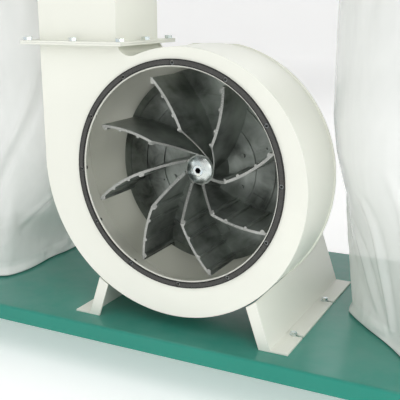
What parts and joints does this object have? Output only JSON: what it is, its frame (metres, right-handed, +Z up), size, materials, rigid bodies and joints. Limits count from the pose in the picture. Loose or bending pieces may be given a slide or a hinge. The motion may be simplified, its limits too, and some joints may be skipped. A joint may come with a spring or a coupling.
{
  "type": "twin-bag dust collector",
  "caption": "Twin-bag dust collector on a wheeled tray: a scroll blower with an open inlet and a cast impeller feeds two drums with cloth filter bags above and clear collection bags below.",
  "frame": {"origin": "on the floor, under the middle of the machine's box", "axes": "+X to the machine's right as seen from the inlet side, +Y from the inlet side to the motor side, +Z up"},
  "size_m": [1.4039, 0.55, 1.9114],
  "materials": {
    "green_paint": "satin",
    "cream_paint": "satin",
    "motor_paint": "semi-gloss",
    "zinc": "bright zinc plate",
    "bright_steel": "machined",
    "copper": "enamelled winding",
    "cast_aluminium": "sand cast, dark",
    "gasket_rubber": "matte",
    "tyre_rubber": "matte",
    "black_plastic": "matte",
    "start_green": "gloss",
    "stop_red": "gloss",
    "bag_film": "thin translucent film",
    "filter_cloth": "needled felt"
  },
  "bodies": {
    "frame": {"base_plate": "green_paint", "caster_plates": "zinc", "caster_bolts": "zinc", "stand_plate_left": "cream_paint", "stand_plate_right": "cream_paint", "motor_shelf": "cream_paint", "frame_bolts": "zinc", "housing_front_plate": "cream_paint", "housing_wrap": "cream_paint", "housing_back_plate": "cream_paint", "outlet_flange": "cream_paint", "inlet_gasket": "gasket_rubber", "cover_inserts": "zinc", "motor_front_bell": "motor_paint", "motor_frame": "motor_paint", "motor_rear_bell": "motor_paint", "motor_bolts": "zinc", "motor_bearings": "bright_steel", "stator_core": "bright_steel", "stator_windings": "copper", "fan_cover": "motor_paint", "capacitor_covers": "motor_paint", "capacitors": "black_plastic", "switch_box": "black_plastic", "cable_gland": "black_plastic", "duct_tee": "cream_paint", "drum_left": "cream_paint", "drum_right": "cream_paint", "drum_posts": "cream_paint", "bag_hangers": "zinc", "filter_bag_left": "filter_cloth", "filter_bag_right": "filter_cloth", "collection_bag_left": "bag_film", "collection_bag_right": "bag_film", "band_clamps": "zinc"},
    "rotor": {"impeller": "cast_aluminium", "impeller_washer": "zinc", "impeller_bolt": "zinc", "motor_shaft": "bright_steel", "rotor_core": "bright_steel", "shaft_key": "bright_steel", "cooling_fan": "black_plastic"},
    "start_button": {"start_button": "start_green"},
    "stop_button": {"stop_button": "stop_red"},
    "caster_front_left": {"caster_fork_front_left": "zinc", "caster_axle_front_left": "zinc"},
    "wheel_front_left": {"caster_wheel_front_left": "tyre_rubber"},
    "caster_front_right": {"caster_fork_front_right": "zinc", "caster_axle_front_right": "zinc"},
    "wheel_front_right": {"caster_wheel_front_right": "tyre_rubber"},
    "caster_rear_left": {"caster_fork_rear_left": "zinc", "caster_axle_rear_left": "zinc"},
    "wheel_rear_left": {"caster_wheel_rear_left": "tyre_rubber"},
    "caster_rear_right": {"caster_fork_rear_right": "zinc", "caster_axle_rear_right": "zinc"},
    "wheel_rear_right": {"caster_wheel_rear_right": "tyre_rubber"},
    "latch_upper_left": {"clamp_lever_upper_left": "zinc"},
    "latch_upper_right": {"clamp_lever_upper_right": "zinc"},
    "latch_lower_left": {"clamp_lever_lower_left": "zinc"},
    "latch_lower_right": {"clamp_lever_lower_right": "zinc"}
  },
  "joints": [
    {"name": "rotor_spin", "type": "hinge", "parent": "frame", "child": "rotor", "pos_m": [0.041, -0.138, 0.36], "axis": [0, 1, 0], "continuous": true},
    {"name": "swivel_front_left", "type": "hinge", "parent": "frame", "child": "caster_front_left", "pos_m": [-0.5, -0.209, 0.087], "axis": [0, 0, 1], "continuous": true},
    {"name": "roll_front_left", "type": "hinge", "parent": "caster_front_left", "child": "wheel_front_left", "pos_m": [-0.5, -0.183, 0.0375], "axis": [1, 0, 0], "continuous": true},
    {"name": "swivel_front_right", "type": "hinge", "parent": "frame", "child": "caster_front_right", "pos_m": [0.5, -0.209, 0.087], "axis": [0, 0, 1], "continuous": true},
    {"name": "roll_front_right", "type": "hinge", "parent": "caster_front_right", "child": "wheel_front_right", "pos_m": [0.5, -0.183, 0.0375], "axis": [1, 0, 0], "continuous": true},
    {"name": "swivel_rear_left", "type": "hinge", "parent": "frame", "child": "caster_rear_left", "pos_m": [-0.5, 0.209, 0.087], "axis": [0, 0, 1], "continuous": true},
    {"name": "roll_rear_left", "type": "hinge", "parent": "caster_rear_left", "child": "wheel_rear_left", "pos_m": [-0.5, 0.235, 0.0375], "axis": [1, 0, 0], "continuous": true},
    {"name": "swivel_rear_right", "type": "hinge", "parent": "frame", "child": "caster_rear_right", "pos_m": [0.5, 0.209, 0.087], "axis": [0, 0, 1], "continuous": true},
    {"name": "roll_rear_right", "type": "hinge", "parent": "caster_rear_right", "child": "wheel_rear_right", "pos_m": [0.5, 0.235, 0.0375], "axis": [1, 0, 0], "continuous": true},
    {"name": "start_press", "type": "slide", "parent": "frame", "child": "start_button", "axis": [0, -1, 0], "range_m": [0, 0.004], "stiffness_N_per_m": 800},
    {"name": "stop_press", "type": "slide", "parent": "frame", "child": "stop_button", "axis": [0, -1, 0], "range_m": [0, 0.004], "stiffness_N_per_m": 800},
    {"name": "latch_open_upper_left", "type": "hinge", "parent": "frame", "child": "latch_upper_left", "pos_m": [-0.37308, -0.23158, 0.97], "axis": [0, 0, -1], "range_deg": [0, 110]},
    {"name": "latch_open_upper_right", "type": "hinge", "parent": "frame", "child": "latch_upper_right", "pos_m": [0.37308, -0.23158, 0.97], "axis": [0, 0, 1], "range_deg": [0, 110]},
    {"name": "latch_open_lower_left", "type": "hinge", "parent": "frame", "child": "latch_lower_left", "pos_m": [-0.37308, -0.23158, 0.708], "axis": [0, 0, -1], "range_deg": [0, 110]},
    {"name": "latch_open_lower_right", "type": "hinge", "parent": "frame", "child": "latch_lower_right", "pos_m": [0.37308, -0.23158, 0.708], "axis": [0, 0, 1], "range_deg": [0, 110]}
  ]
}
